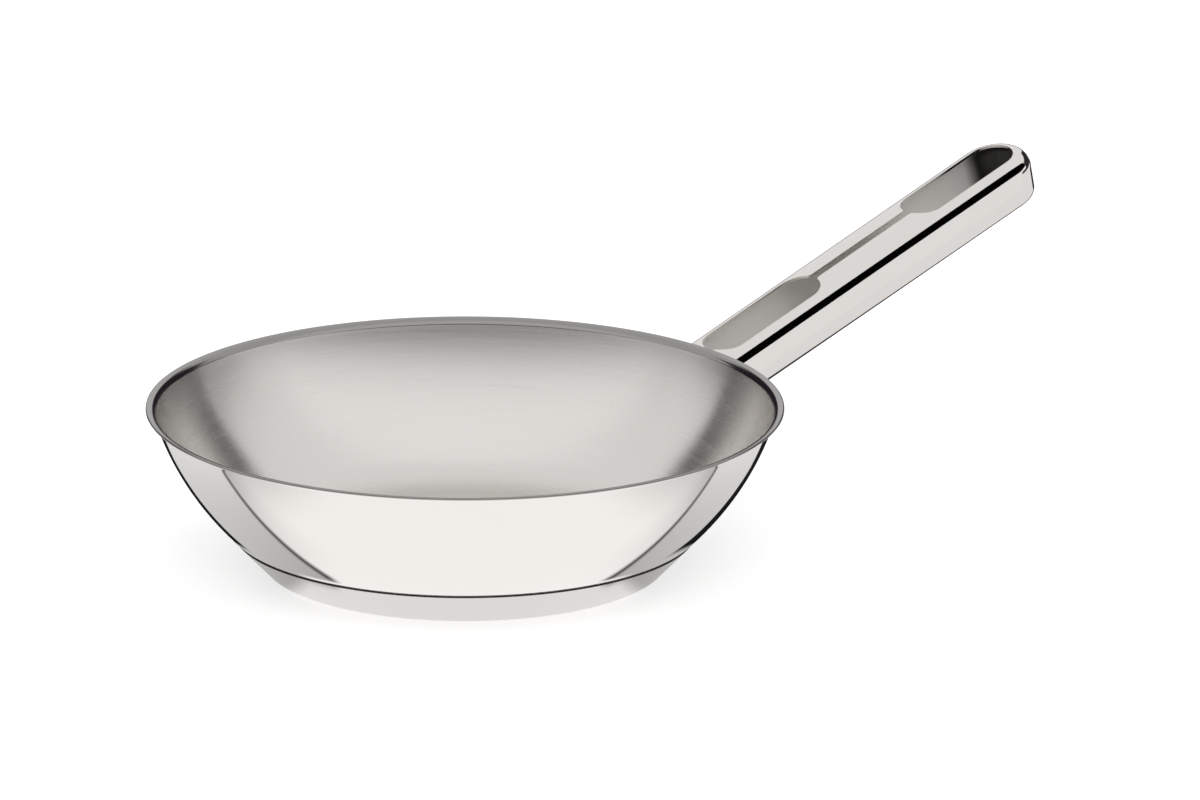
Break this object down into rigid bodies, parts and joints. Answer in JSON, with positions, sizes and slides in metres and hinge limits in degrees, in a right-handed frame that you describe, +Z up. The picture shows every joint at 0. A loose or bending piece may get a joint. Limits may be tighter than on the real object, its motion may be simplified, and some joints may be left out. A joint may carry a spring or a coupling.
{
  "type": "omelette pan",
  "caption": "Steel omelette pan with a flared pouring lip, a capsule base with an aluminium core, and a hollow folded handle with a window to hang it by.",
  "frame": {"origin": "on the bowl's axis, at the underside of the base", "axes": "+Z up along the bowl's axis, +X along the handle"},
  "size_m": [0.4265, 0.2458, 0.1062],
  "materials": {
    "bowl_steel": "mirror-polished outside, satin brushed in rings inside",
    "core_aluminium": "as rolled, hidden in the base",
    "cap_steel": "mirror-polished side, underside turned in fine rings",
    "handle_steel": "mirror-polished outside, plain mill finish inside",
    "bracket_steel": "plain mill finish",
    "weld_steel": "cleaned weld"
  },
  "bodies": {
    "root": {"pan_body": "bowl_steel", "base_core": "core_aluminium", "base_cap": "cap_steel", "handle_shell": "handle_steel", "handle_bracket": "bracket_steel", "spot_welds": "weld_steel", "front_weld": "weld_steel"}
  },
  "joints": []
}
